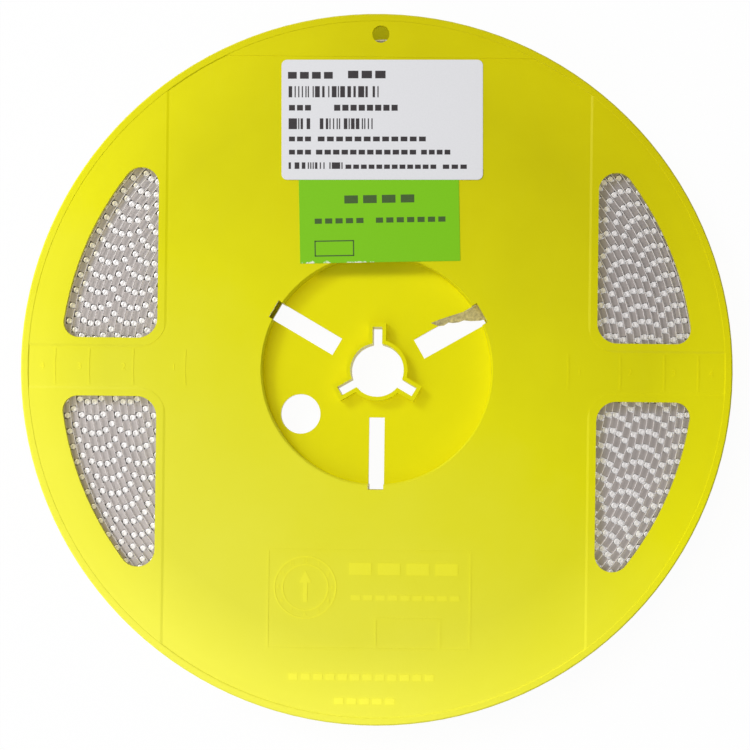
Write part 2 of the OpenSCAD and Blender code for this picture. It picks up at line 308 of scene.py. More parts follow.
def grow(name, base, tree, **values):
    """Runs a tree on a base mesh and returns the result as one plain mesh object."""
    source = bpy.data.objects.new(name + "_base", base)
    bpy.context.collection.objects.link(source)
    modifier = source.modifiers.new("Grow", "NODES")
    modifier.node_group = tree
    for item in tree.interface.items_tree:
        key = item.name.lower().replace(" ", "_")
        if item.in_out == "INPUT" and key in values:
            modifier[item.identifier] = values[key]
    evaluated = source.evaluated_get(bpy.context.evaluated_depsgraph_get())
    mesh = bpy.data.meshes.new_from_object(evaluated)
    mesh.name = name
    while mesh.materials[0] is None:
        mesh.materials.pop(index=0)
    bpy.data.objects.remove(source)
    return bpy.data.objects.new(name, mesh)


class Winding:
    """The roll's flat spiral: half rings whose centre steps from side to side by a quarter pitch.

    Half turns are counted from the hub, and lengths along the tape from its start.
    """

    def __init__(self, sizes, diode):
        self.sizes = sizes
        self.gap = diode.diameter + sizes.play
        self.pitch = sizes.tape_thickness + sizes.film_thickness + self.gap
        self.step = self.pitch / 4
        self.start = sizes.hub_radius + sizes.hub_gap + self.gap + self.step
        self.rise = sizes.neutral - self.gap / 2
        self.first = self.start + self.rise - self.step

    def inner(self, half):
        """Radius of the tape's inner face in one half turn."""
        return self.start + half * self.pitch / 2

    def wound(self, half):
        """Length of tape wound before one half turn."""
        return math.pi * half * (self.first + half * self.pitch / 4)

    def half_at(self, along):
        """Half turn on which a length along the tape ends."""
        root = math.sqrt(self.first ** 2 + self.pitch * along / math.pi)
        return math.floor((root - self.first) * 2 / self.pitch)

    def place(self, half, angle, radius, z):
        """A point of one half ring in the reel's frame, and the direction it faces."""
        centre = self.step if half % 2 else -self.step
        flat = Vector((centre + radius * math.cos(angle), radius * math.sin(angle), 0))
        flat = Matrix.Rotation(self.sizes.start_angle, 3, "Z") @ flat
        return (flat + Vector((self.sizes.roll_x, self.sizes.roll_y, z)),
                angle + self.sizes.start_angle)

    def pocket(self, number, z, outward=0.0):
        """Middle of one pocket, counted from the tape's start, or a place a little outside it."""
        along = number * self.sizes.pocket_pitch
        half = self.half_at(along)
        angle = math.pi * (half % 2) - (along - self.wound(half)) / (self.inner(half) + self.rise)
        return self.place(half, angle, self.inner(half) - self.gap / 2 + outward, z)

    def path(self, z, facets):
        """Points along the middle of the tape's thickness."""
        points = []
        for half in range(self.sizes.half_turns):
            radius = self.inner(half) + self.sizes.tape_thickness / 2
            for i in range(facets + (half == self.sizes.half_turns - 1)):
                angle = math.pi * (half % 2) - math.pi * i / facets
                points.append(self.place(half, angle, radius, z)[0])
        return points


# Finishes

def new_material(name):
    """A node material without nodes, and the object coordinates that its patterns read."""
    material = bpy.data.materials.new(name)
    material.use_nodes = True
    material.node_tree.nodes.clear()
    coords = add(material.node_tree, "ShaderNodeTexCoord").outputs["Object"]
    return material, material.node_tree, coords


def end_material(material, surface):
    """Ends a material in its surface."""
    add(material.node_tree, "ShaderNodeOutputMaterial", {"Surface": surface})
    return material


def opaque(values, factor=1.0):
    """Four channels of a colour property, darker by a factor."""
    return (*(c * factor for c in values), 1.0)


def between(tree, value, limits):
    """1 where a value lies between two limits, and 0 elsewhere."""
    above = add(tree, "ShaderNodeMath", {0: value, 1: limits[0]}, operation="GREATER_THAN")
    below = add(tree, "ShaderNodeMath", {0: value, 1: limits[1]}, operation="LESS_THAN")
    return add(tree, "ShaderNodeMath", {0: above, 1: below}, operation="MULTIPLY")


def paled(tree, coords, shades, drift=0.0):
    """Painted sheen: a colour that pales across the reel through evenly spaced shades; drift shifts
    it about.
    """
    slope = add(tree, "ShaderNodeVectorMath", {0: coords, 1: SHEEN_WAY}, operation="DOT_PRODUCT")
    across = add(tree, "ShaderNodeMapRange", {
        "Value": slope.outputs["Value"], "From Min": -REEL_RADIUS, "From Max": REEL_RADIUS})
    shifted = add(tree, "ShaderNodeMath", {
        0: drift, 1: CLOUD_SHARE, 2: across}, operation="MULTIPLY_ADD")
    node = add(tree, "ShaderNodeValToRGB", {"Fac": shifted})
    stops = node.color_ramp.elements
    while len(stops) < len(shades):
        stops.new(0.5)
    for number, shade in enumerate(shades):
        stops[number].position = number / (len(shades) - 1)
        stops[number].color = opaque(shade)
    return node


def moulded_polystyrene(finish, name="Moulded polystyrene", lift=1.0):
    """Injection moulded polystyrene: satin, a little light comes through it, faint flow clouds.

    Painted light: the label side is painted darker at the upper right and paler towards the lower
    left (painted sheen) and towards its rim, and lift paints it paler still; the space between the
    flanges is painted darker (painted shade). Grain and rub marks are drawn coarser than the real
    ones, so that they show.
    """
    material, tree, coords = new_material(name)
    clouds = add(tree, "ShaderNodeTexNoise", {
        "Vector": coords, "Scale": 1 / (24 * MM), "Detail": 3.0, "Roughness": 0.55})
    height = add(tree, "ShaderNodeSeparateXYZ", {0: coords}).outputs["Z"]
    flat = add(tree, "ShaderNodeVectorMath", {0: coords, 1: (1.0, 1.0, 0.0)}, operation="MULTIPLY")
    radius = add(tree, "ShaderNodeVectorMath", {0: flat}, operation="LENGTH").outputs["Value"]

    # Painted sheen and shade: the label side is painted darker at the upper right and paler at the
    # lower left.
    drift = add(tree, "ShaderNodeMath", {0: clouds, 1: 0.5}, operation="SUBTRACT")
    lit = paled(tree, coords, (finish.flange_far, finish.flange_mid, finish.flange_near), drift)
    # Painted light: the face is painted brighter towards its rim.
    rim = add(tree, "ShaderNodeMapRange", {
        "Value": radius, "From Min": RIM_ZONE[0], "From Max": RIM_ZONE[1],
        "To Min": lift, "To Max": lift * RIM_GAIN})
    flange = add(tree, "ShaderNodeVectorMath", {0: lit, "Scale": rim}, operation="SCALE")

    flow = add(tree, "ShaderNodeMix", {
        0: clouds, 6: opaque(finish.plastic), 7: opaque(finish.plastic_pale)}, data_type="RGBA")
    # Painted shade: the plastic between the flanges is painted darker, for the shade in there.
    enclosed = add(tree, "ShaderNodeMath", {
        0: between(tree, height, SPACE_Z), 1: between(tree, radius, SPACE_R)},
        operation="MULTIPLY")
    shade = add(tree, "ShaderNodeMapRange", {
        "Value": enclosed, "To Min": 1.0, "To Max": SPACE_SHADE})
    flow_in_painted_shade = add(tree, "ShaderNodeVectorMath", {
        0: flow.outputs[2], "Scale": shade}, operation="SCALE")
    outer = add(tree, "ShaderNodeMath", {0: height, 1: FACE_Z - MM}, operation="GREATER_THAN")
    tone = add(tree, "ShaderNodeMix", {0: outer, 6: flow_in_painted_shade, 7: flange}, data_type="RGBA").outputs[2]

    grain = add(tree, "ShaderNodeTexNoise", {"Vector": coords, "Scale": 1 / (0.5 * MM)})
    relief = add(tree, "ShaderNodeBump", {
        "Height": grain, "Strength": 0.12, "Distance": 0.05 * MM})
    stretch = add(tree, "ShaderNodeMapping", {
        "Vector": coords, "Rotation": (0, 0, 0.35), "Scale": (1, 0.06, 1)})
    rubs = add(tree, "ShaderNodeTexNoise", {
        "Vector": stretch, "Scale": 1 / (0.45 * MM), "Detail": 1.0})
    rubbed = add(tree, "ShaderNodeMapRange", {
        "Value": rubs, "From Min": 0.55, "From Max": 0.8, "To Min": 0.32, "To Max": 0.42})
    body = add(tree, "ShaderNodeBsdfPrincipled", {
        "Base Color": tone, "Roughness": rubbed, "IOR": 1.59, "Specular IOR Level": 0.12,
        "Normal": relief})
    through = add(tree, "ShaderNodeBsdfTranslucent", {"Color": tone})
    solid = add(tree, "ShaderNodeMixShader", {0: 0.1, 1: body, 2: through})
    passed = add(tree, "ShaderNodeBsdfTransparent", {"Color": opaque(finish.passed)})
    path = add(tree, "ShaderNodeLightPath")
    share = add(tree, "ShaderNodeMath", {
        0: path.outputs["Is Shadow Ray"], 1: PASSED_SHARE}, operation="MULTIPLY")
    return end_material(material, add(tree, "ShaderNodeMixShader", {
        0: share, 1: solid, 2: passed}))


def clear_sheet(name, tint, clearness, roughness, cloud_mm, frosted=None):
    """A thin clear sheet: partly see-through, partly hazy, with a soft gloss.

    Outside the two heights in frosted, the sheet's cut edges are hazy all through.
    """
    material, tree, coords = new_material(name)
    clouds = add(tree, "ShaderNodeTexNoise", {"Vector": coords, "Scale": 1 / (cloud_mm * MM)})
    tone = add(tree, "ShaderNodeMix", {
        0: clouds, 6: opaque(tint), 7: opaque(tint, 0.8)}, data_type="RGBA").outputs[2]
    ripple = add(tree, "ShaderNodeBump", {
        "Height": clouds, "Strength": 0.2, "Distance": 0.05 * MM})
    body = add(tree, "ShaderNodeBsdfPrincipled", {
        "Base Color": tone, "Roughness": roughness, "IOR": 1.58, "Normal": ripple})
    through = add(tree, "ShaderNodeBsdfTranslucent", {"Color": tone})
    hazy = add(tree, "ShaderNodeMixShader", {0: 0.5, 1: body, 2: through})
    clear = add(tree, "ShaderNodeBsdfTransparent", {"Color": linear("FFFFFF")})
    path = add(tree, "ShaderNodeLightPath")
    open_share = add(tree, "ShaderNodeMath", {
        0: path.outputs["Is Shadow Ray"], 1: clearness}, operation="MAXIMUM")
    sheet = add(tree, "ShaderNodeMixShader", {0: open_share, 1: hazy, 2: clear})
    if frosted:
        height = add(tree, "ShaderNodeSeparateXYZ", {0: coords}).outputs["Z"]
        below = add(tree, "ShaderNodeMath", {0: height, 1: frosted[0]}, operation="LESS_THAN")
        above = add(tree, "ShaderNodeMath", {0: height, 1: frosted[1]}, operation="GREATER_THAN")
        edge = add(tree, "ShaderNodeMath", {0: below, 1: above}, operation="MAXIMUM")
        share = add(tree, "ShaderNodeMath", {0: edge, 1: 0.75}, operation="MULTIPLY")
        sheet = add(tree, "ShaderNodeMixShader", {0: share, 1: sheet, 2: body})
    return end_material(material, sheet)


def extruded_carrier(finish):
    """Extruded polycarbonate strip: clear through its faces, frosted where it was slit."""
    frosted = (TAPE_LOW[2] + SLIT_EDGE, TAPE_HIGH[2] - SLIT_EDGE)
    return clear_sheet("Extruded polycarbonate", finish.edge,
                       clearness=0.88, roughness=0.3, cloud_mm=3, frosted=frosted)


def formed_pocket(finish):
    """The same sheet where heat has drawn it thin over the pocket: glossier, finely rippled."""
    return clear_sheet("Thermoformed polycarbonate", finish.edge,
                       clearness=0.85, roughness=0.2, cloud_mm=1)


def hazy_web(finish):
    """The sheet between pockets, seen edge on: many hazy walls that read as one soft grey, with a
    painted sheen.
    """
    material, tree, coords = new_material("Hazy formed polycarbonate")
    patches = add(tree, "ShaderNodeTexNoise", {
        "Vector": coords, "Scale": 1 / (5 * MM), "Detail": 3.0})
    patchy = add(tree, "ShaderNodeMapRange", {"Value": patches, "To Min": 0.85, "To Max": 1.2})
    # Painted sheen: paler towards the lower left.
    lit = paled(tree, coords, (finish.tape_far, finish.tape_mid, finish.tape_near))
    shade = add(tree, "ShaderNodeVectorMath", {0: lit, "Scale": patchy}, operation="SCALE")
    body = add(tree, "ShaderNodeBsdfPrincipled", {
        "Base Color": shade, "Roughness": 0.38, "IOR": 1.58, "Specular IOR Level": 1.0,
        "Coat Weight": 1.0, "Coat Roughness": 0.38, "Coat IOR": 2.0})
    through = add(tree, "ShaderNodeBsdfTranslucent", {"Color": shade})
    return end_material(material, add(tree, "ShaderNodeMixShader", {
        0: 0.2, 1: body, 2: through}))


def polyester_film(finish):
    """Extruded polyester cover film: clear and glossy."""
    return clear_sheet("Extruded polyester film", finish.edge,
                       clearness=0.88, roughness=0.15, cloud_mm=2)


def adhesive_strip(finish):
    """Yellowed adhesive strip on crepe paper: mottled, creased, a little see-through."""
    material, tree, coords = new_material("Adhesive crepe strip")
    creases = add(tree, "ShaderNodeTexNoise", {
        "Vector": coords, "Scale": 1 / (0.9 * MM), "Detail": 5.0, "Roughness": 0.7,
        "Distortion": 0.5})
    spread = add(tree, "ShaderNodeMapRange", {
        "Value": creases, "From Min": 0.38, "From Max": 0.62})
    tone = add(tree, "ShaderNodeMix", {
        0: spread, 6: opaque(finish.anchor, 0.55), 7: opaque(finish.anchor)}, data_type="RGBA")
    relief = add(tree, "ShaderNodeBump", {
        "Height": creases, "Strength": 0.6, "Distance": 0.1 * MM})
    body = add(tree, "ShaderNodeBsdfPrincipled", {
        "Base Color": tone.outputs[2], "Roughness": 0.45, "Normal": relief})
    clear = add(tree, "ShaderNodeBsdfTransparent", {"Color": opaque(finish.anchor)})
    return end_material(material, add(tree, "ShaderNodeMixShader", {0: 0.35, 1: body, 2: clear}))


def tinned_steel(finish):
    """Steel caps tinned in a barrel: bright but dull, each a little different, with a painted
    sheen.
    """
    material, tree, coords = new_material("Barrel tinned steel")
    spots = add(tree, "ShaderNodeTexNoise", {"Vector": coords, "Scale": 1 / (3 * MM)})
    dull = add(tree, "ShaderNodeMapRange", {"Value": spots, "To Min": 1.05, "To Max": 0.92})
    # Painted sheen: paler towards the lower left.
    lit = paled(tree, coords, (finish.cap_far, finish.cap_mid, finish.cap_near))
    shade = add(tree, "ShaderNodeVectorMath", {0: lit, "Scale": dull}, operation="SCALE")
    rough = add(tree, "ShaderNodeMapRange", {"Value": spots, "To Min": 0.35, "To Max": 0.55})
    return end_material(material, add(tree, "ShaderNodeBsdfPrincipled", {
        "Base Color": shade, "Metallic": 0.2, "Roughness": rough}))


def drawn_glass(finish):
    """Drawn glass tube with copper coloured studs inside: glossy, tinted."""
    material, tree, coords = new_material("Drawn glass tube")
    streaks = add(tree, "ShaderNodeTexNoise", {"Vector": coords, "Scale": 1 / (1.2 * MM)})
    tone = add(tree, "ShaderNodeMix", {
        0: streaks, 6: opaque(finish.glass), 7: opaque(finish.glass, 0.6)}, data_type="RGBA")
    return end_material(material, add(tree, "ShaderNodeBsdfPrincipled", {
        "Base Color": tone.outputs[2], "Roughness": 0.08, "IOR": 1.52, "Coat Weight": 0.6}))


def printing_ink(name, shade):
    """Printed ink: flat and matt, slightly uneven where it skips what it is printed on."""
    material, tree, coords = new_material(name)
    skips = add(tree, "ShaderNodeTexNoise", {
        "Vector": coords, "Scale": 1 / (0.35 * MM), "Detail": 3.0})
    thin = [min(1, c * 1.6 + 0.01) for c in shade]
    tone = add(tree, "ShaderNodeMix", {
        0: skips, 6: opaque(shade), 7: opaque(thin)}, data_type="RGBA")
    return end_material(material, add(tree, "ShaderNodeBsdfPrincipled", {
        "Base Color": tone.outputs[2], "Roughness": 0.6}))


def label_paper(name, shade, core, lower_edge, scuff):
    """Coated label paper: smooth satin; scuff is how far its core shows at the lower edge.

    The fibres are drawn coarser than the real ones, so that they show.
    """
    material, tree, coords = new_material(name)
    fibre = add(tree, "ShaderNodeTexNoise", {
        "Vector": coords, "Scale": 1 / (0.4 * MM), "Detail": 4.0})
    tone = add(tree, "ShaderNodeMix", {
        0: fibre, 6: opaque(shade), 7: opaque(shade, 0.92)}, data_type="RGBA")
    upward = add(tree, "ShaderNodeSeparateXYZ", {0: coords}).outputs["Y"]
    edge = add(tree, "ShaderNodeMapRange", {
        "Value": upward, "From Min": lower_edge, "From Max": lower_edge + SCUFF_DEPTH,
        "To Min": scuff, "To Max": 0.0})
    creases = add(tree, "ShaderNodeTexNoise", {
        "Vector": coords, "Scale": 1 / (1.6 * MM), "Detail": 4.0, "Distortion": 0.6})
    rubbed = add(tree, "ShaderNodeMath", {0: edge, 1: creases}, operation="MULTIPLY")
    worn = add(tree, "ShaderNodeMapRange", {"Value": rubbed, "From Min": 0.42, "From Max": 0.5})
    shown = add(tree, "ShaderNodeMix", {
        0: worn, 6: tone.outputs[2], 7: opaque(core)}, data_type="RGBA")
    relief = add(tree, "ShaderNodeBump", {
        "Height": fibre, "Strength": 0.1, "Distance": 0.02 * MM})
    return end_material(material, add(tree, "ShaderNodeBsdfPrincipled", {
        "Base Color": shown.outputs[2], "Roughness": 0.45, "Specular IOR Level": 0.25,
        "Normal": relief}))


def floor_card():
    """Matt white card that keeps a soft shadow: white to the eye and in reflections."""
    material, tree, _ = new_material("Matt white card")
    card = add(tree, "ShaderNodeBsdfDiffuse", {"Color": linear("EDEDED")})
    white = add(tree, "ShaderNodeEmission", {"Color": linear("FFFFFF"), "Strength": 1.0})
    rays = add(tree, "ShaderNodeLightPath").outputs
    mirrored = add(tree, "ShaderNodeMath", {
        0: rays["Is Glossy Ray"], 1: rays["Is Transmission Ray"]}, operation="MAXIMUM")
    seen = add(tree, "ShaderNodeMath", {
        0: rays["Is Camera Ray"], 1: mirrored}, operation="MAXIMUM")
    share = add(tree, "ShaderNodeMath", {0: seen, 1: FLOOR_WHITE}, operation="MULTIPLY")
    return end_material(material, add(tree, "ShaderNodeMixShader", {0: share, 1: card, 2: white}))


# Node trees

def strip_tree():
    """A flat strip of one width and thickness along a path."""
    tree, given = new_tree("Wound strip", width="Float", thickness="Float", material="Material")
    path = add(tree, "GeometryNodeMeshToCurve", {"Mesh": given["Geometry"]})
    upright = add(tree, "GeometryNodeSetCurveNormal", {"Curve": path}, mode="Z_UP")
    section = add(tree, "GeometryNodeCurvePrimitiveQuadrilateral", {
        "Width": given["Thickness"], "Height": given["Width"]})
    strip = add(tree, "GeometryNodeCurveToMesh", {
        "Curve": upright, "Profile Curve": section, "Fill Caps": True})
    return end_tree(tree, strip, given["Material"])


def end_row(tree, given, shape):
    """Ends a tree in its shape on every point, turned as the point says."""
    turn = add(tree, "GeometryNodeInputNamedAttribute", {"Name": "turn"}, data_type="FLOAT")
    angles = add(tree, "ShaderNodeCombineXYZ", {"Z": turn})
    row = add(tree, "GeometryNodeInstanceOnPoints", {
        "Points": given["Geometry"], "Instance": shape, "Rotation": angles})
    return end_tree(tree, row, given["Material"])


def shifted(tree, shape, height):
    """Moves a shape along Z."""
    way = add(tree, "ShaderNodeCombineXYZ", {"Z": height})
    return add(tree, "GeometryNodeTransform", {"Geometry": shape, "Translation": way})


def welded(tree, parts):
    """Joins parts into one closed shape."""
    joined = add(tree, "GeometryNodeJoinGeometry")
    for part in parts:
        tree.links.new(part.outputs[0], joined.inputs[0])
    return add(tree, "GeometryNodeMergeByDistance", {"Geometry": joined, "Distance": MERGE})


def pocket_tree():
    """A closed pocket with rounded corners on every point."""
    tree, given = new_tree(
        "Pocket row", depth="Float", width="Float", length="Float", corner="Float",
        material="Material")
    outline = add(tree, "GeometryNodeCurvePrimitiveQuadrilateral", {
        "Width": given["Depth"], "Height": given["Width"]})
    rounded = add(tree, "GeometryNodeFilletCurve", {
        "Curve": outline, "Radius": given["Corner"], "Count": 2}, mode="POLY")
    floor = add(tree, "GeometryNodeFillCurve", {"Curve": rounded})
    raised = add(tree, "GeometryNodeExtrudeMesh", {
        "Mesh": floor, "Offset Scale": given["Length"], "Individual": False})
    under = add(tree, "GeometryNodeFlipFaces", {"Mesh": floor})
    half = add(tree, "ShaderNodeMath", {0: given["Length"], 1: -0.5}, operation="MULTIPLY")
    return end_row(tree, given, shifted(tree, welded(tree, (raised, under)), half))


def web_tree():
    """A closed block on every point: the formed sheet between two pockets."""
    tree, given = new_tree(
        "Web row", depth="Float", width="Float", length="Float", material="Material")
    size = add(tree, "ShaderNodeCombineXYZ", {
        "X": given["Depth"], "Y": given["Width"], "Z": given["Length"]})
    block = add(tree, "GeometryNodeMeshCube", {"Size": size})
    return end_row(tree, given, block)


def sleeve_tree():
    """An open tube on every point, for the glass bodies and the printed bands."""
    tree, given = new_tree(
        "Sleeve row", radius="Float", length="Float", height="Float", facets="Int",
        material="Material")
    tube = add(tree, "GeometryNodeMeshCylinder", {
        "Vertices": given["Facets"], "Radius": given["Radius"], "Depth": given["Length"]},
        fill_type="NONE")
    return end_row(tree, given, shifted(tree, tube, given["Height"]))


def cap_tree():
    """A cap with a bevelled rim and a dimpled end on every point; flip turns it end for end."""
    tree, given = new_tree(
        "Cap row", radius="Float", length="Float", reach="Float", bevel="Float",
        dimple="Float", facets="Int", flip="Float", material="Material")
    side_length = add(tree, "ShaderNodeMath", {
        0: given["Length"], 1: given["Bevel"]}, operation="SUBTRACT")
    inner = add(tree, "ShaderNodeMath", {
        0: given["Radius"], 1: DIMPLE_SHARE}, operation="MULTIPLY")
    side, rim, hollow = (
        add(tree, "GeometryNodeMeshCone", {
            "Vertices": given["Facets"], "Radius Top": top, "Radius Bottom": bottom,
            "Depth": depth}, fill_type="NONE")
        for top, bottom, depth in (
            (given["Radius"], given["Radius"], side_length),
            (inner, given["Radius"], given["Bevel"]),
            (0.0, inner, given["Dimple"])))
    hollow = add(tree, "GeometryNodeTransform", {"Geometry": hollow, "Scale": (1, 1, -1)})
    hollow = add(tree, "GeometryNodeFlipFaces", {"Mesh": hollow})
    cap = welded(tree, (side, shifted(tree, rim, side_length),
                        shifted(tree, hollow, given["Length"])))
    base = add(tree, "ShaderNodeMath", {
        0: given["Reach"], 1: given["Length"]}, operation="SUBTRACT")
    flip = add(tree, "ShaderNodeCombineXYZ", {"X": given["Flip"]})
    turned = add(tree, "GeometryNodeTransform", {
        "Geometry": shifted(tree, cap, base), "Rotation": flip})
    return end_row(tree, given, turned)


def marks_tree():
    """A row of marks, of which a seeded share is left out."""
    tree, given = new_tree(
        "Printed marks", count="Int", spacing="Float", width="Float", height="Float",
        thickness="Float", share="Float", seed="Int", material="Material")
    offset = add(tree, "ShaderNodeCombineXYZ", {"X": given["Spacing"]})
    line = add(tree, "GeometryNodeMeshLine", {
        "Count": given["Count"], "Offset": offset}, mode="OFFSET")
    chance = add(tree, "ShaderNodeMath", {0: 1.0, 1: given["Share"]}, operation="SUBTRACT")
    dropped = add(tree, "FunctionNodeRandomValue", {
        "Probability": chance, "Seed": given["Seed"]}, data_type="BOOLEAN")
    kept = add(tree, "GeometryNodeDeleteGeometry", {
        "Geometry": line, "Selection": dropped.outputs[3]}, domain="POINT")
    size = add(tree, "ShaderNodeCombineXYZ", {
        "X": given["Width"], "Y": given["Height"], "Z": given["Thickness"]})
    mark = add(tree, "GeometryNodeMeshCube", {"Size": size})
    row = add(tree, "GeometryNodeInstanceOnPoints", {"Points": kept, "Instance": mark})
    return end_tree(tree, row, given["Material"])


# Parts of the print and of the moulded relief

def new_part(name, form, material):
    """A part with one material, from the mesh that a form holds."""
    mesh = bpy.data.meshes.new(name)
    form.to_mesh(mesh)
    form.free()
    mesh.materials.append(material)
    return bpy.data.objects.new(name, mesh)


def mark_rows(rows, thickness, first_seed, material):
    """Rows of marks, each moved to its place."""
    tree = marks_tree()
    made = []
    for seed, (x, depth, count, spacing, width, height, share) in enumerate(rows, first_seed):
        row = grow("row", bpy.data.meshes.new("row"), tree, count=count, spacing=spacing * MM,
                   width=width * MM, height=height * MM, thickness=thickness, share=share,
                   seed=seed, material=material)
        row.data.transform(Matrix.Translation((x * MM, -depth * MM, 0)))
        made.append(row)
    return made


def printed_frame(material):
    """A plain rectangular outline in ink."""
    form = bmesh.new()
    width, height = PRINTED_FRAME
    for size, middle in (((width, FRAME_LINE), (width / 2, 0)),
                         ((width, FRAME_LINE), (width / 2, height)),
                         ((FRAME_LINE, height + FRAME_LINE), (0, height / 2)),
                         ((FRAME_LINE, height + FRAME_LINE), (width, height / 2))):
        x, y = (FRAME_CORNER[axis] + middle[axis] for axis in (0, 1))
        scale = Matrix.Diagonal((size[0] * MM, size[1] * MM, INK, 1))
        bmesh.ops.create_cube(
            form, size=1, matrix=Matrix.Translation((x * MM, y * MM, 0)) @ scale)
    return new_part("frame", form, material)


def print_on(name, parts, node):
    """Joins printed parts into one piece and lays it on a label, from its upper left corner."""
    piece = join(name, parts)
    low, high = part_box(node)
    width, height = (side * MM for side in LABEL_SIZES[node])
    middle = ((low[0] + high[0]) / 2, (low[1] + high[1]) / 2, low[2] + PAPER + INK / 2)
    piece.data.transform(Matrix.Translation(middle)
                         @ Matrix.Rotation(math.radians(LABEL_LEAN[node]), 4, "Z")
                         @ Matrix.Translation((-width / 2, height / 2, 0)))
    keep(piece)


def raised_number(number, size, place, material):
    """A plain number as a thin raised mesh, centred on a place."""
    curve = bpy.data.curves.new("number", "FONT")
    curve.body = str(number)
    curve.size = size * MM
    curve.extrude = RELIEF / 2
    curve.align_x = "CENTER"
    curve.align_y = "CENTER"
    curve.resolution_u = 3
    text = bpy.data.objects.new("number", curve)
    mesh = bpy.data.meshes.new_from_object(text)
    bpy.data.objects.remove(text)
    mesh.transform(Matrix.Translation((place[0] * MM, place[1] * MM, 0)))
    mesh.materials.append(material)
    return bpy.data.objects.new("number", mesh)


def raised_dial(material):
    """Two rings and an arrow: a plain date dial."""
    form = bmesh.new()

    def corner(x, y, side):
        """A corner on the upper (1) or lower (-1) face."""
        return form.verts.new(((DIAL[0] + x) * MM, (DIAL[1] + y) * MM, side * RELIEF / 2))

    directions = [2 * math.pi * i / DIAL_SIDES for i in range(DIAL_SIDES)]
    for radius in DIAL_RINGS:
        inner, outer = radius - DIAL_LINE, radius + DIAL_LINE
        rings = [[corner(r * math.cos(angle), r * math.sin(angle), side) for angle in directions]
                 for r, side in ((inner, -1), (inner, 1), (outer, 1), (outer, -1))]
        for a, b in zip(rings, rings[1:] + rings[:1]):
            for i in range(DIAL_SIDES):
                form.faces.new((a[i - 1], a[i], b[i], b[i - 1]))
    low, high = ([corner(x, y, side) for x, y in DIAL_ARROW] for side in (-1, 1))
    form.faces.new(high)
    form.faces.new(list(reversed(low)))
    for i in range(len(low)):
        form.faces.new((low[i - 1], low[i], high[i], high[i - 1]))
    bmesh.ops.recalc_face_normals(form, faces=form.faces)
    return new_part("dial", form, material)


# Operators, one for each piece or group of like pieces

class REEL_OT_halves(bpy.types.Operator):
    """Gives both moulded halves their finish"""
    bl_idname = "reel.halves"
    bl_label = "Moulded halves"

    def execute(self, context):
        plastic = moulded_polystyrene(context.scene.reel_finishes)
        for name in ("front_half", "back_half"):
            paint(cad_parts[name], plastic)
        return {"FINISHED"}


class REEL_OT_tape(bpy.types.Operator):
    """Builds the carrier tape with its pockets, and finishes the cover film and the strip"""
    bl_idname = "reel.tape"
    bl_label = "Carrier tape"

    def execute(self, context):
        sizes = context.scene.reel_tape
        finish = context.scene.reel_finishes
        winding = Winding(sizes, context.scene.reel_diode)
        points = winding.path((TAPE_LOW[2] + TAPE_HIGH[2]) / 2, PATH_FACETS)
        path = bpy.data.meshes.new("tape_path")
        path.from_pydata(points, [(i, i + 1) for i in range(len(points) - 1)], [])
        strip = grow("tape_strip", path, strip_tree(), width=TAPE_HIGH[2] - TAPE_LOW[2],
                     thickness=sizes.tape_thickness, material=extruded_carrier(finish))
        keep(strip)
        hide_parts("carrier_tape")

        last = math.floor(winding.wound(sizes.half_turns) / sizes.pocket_pitch) - 1
        places = point_mesh("pocket_places", [
            winding.pocket(n, DIODE_MIDDLE) for n in range(1, last)])
        pockets = grow("tape_pockets", places, pocket_tree(), depth=winding.gap - POCKET_PLAY,
                       width=sizes.pocket_width, length=sizes.pocket_length,
                       corner=POCKET_CORNER, material=formed_pocket(finish))
        keep(pockets)
        places = point_mesh("web_places", [
            winding.pocket(n + 0.5, DIODE_MIDDLE, sizes.tape_thickness / 2)
            for n in range(1, last)])
        webs = grow("tape_webs", places, web_tree(),
                    depth=winding.gap + WEB_REACH * sizes.tape_thickness,
                    width=sizes.pocket_pitch - sizes.pocket_width, length=sizes.web_length,
                    material=hazy_web(finish))
        keep(webs)
        paint(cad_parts["cover_film"], polyester_film(finish))
        paint(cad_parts["anchor_tape"], adhesive_strip(finish))
        return {"FINISHED"}


class REEL_OT_diodes(bpy.types.Operator):
    """Builds the glass diodes with their two caps and printed band"""
    bl_idname = "reel.diodes"
    bl_label = "Diodes"

    def execute(self, context):
        diode = context.scene.reel_diode
        finish = context.scene.reel_finishes
        winding = Winding(context.scene.reel_tape, diode)
        first = context.scene.reel_tape.empty_pockets
        places = point_mesh("diode_places", [
            winding.pocket(n, DIODE_MIDDLE) for n in range(first, first + diode.count)])
        radius = diode.diameter / 2 - CAP_PLAY
        caps = cap_tree()
        tin = tinned_steel(finish)
        for name, flip in (("diode_caps_front", 0.0), ("diode_caps_back", math.pi)):
            piece = grow(name, places, caps, radius=radius, length=diode.cap,
                         reach=diode.length / 2, bevel=CAP_BEVEL, dimple=CAP_DIMPLE,
                         facets=diode.facets, flip=flip, material=tin)
            keep(piece)
            if name == "diode_caps_front":
                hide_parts(*TURN_NODES)
        sleeves = sleeve_tree()
        glass = grow("diode_bodies", places, sleeves, radius=radius - GLASS_INSET,
                     length=diode.length - 2 * diode.cap, height=0.0, facets=diode.facets,
                     material=drawn_glass(finish))
        keep(glass)
        bands = grow("diode_bands", places, sleeves, radius=radius - BAND_INSET,
                     length=diode.band, height=-diode.length / 2 + diode.cap + diode.band,
                     facets=diode.facets,
                     material=printing_ink("Fired black enamel", finish.ink))
        keep(bands)
        return {"FINISHED"}


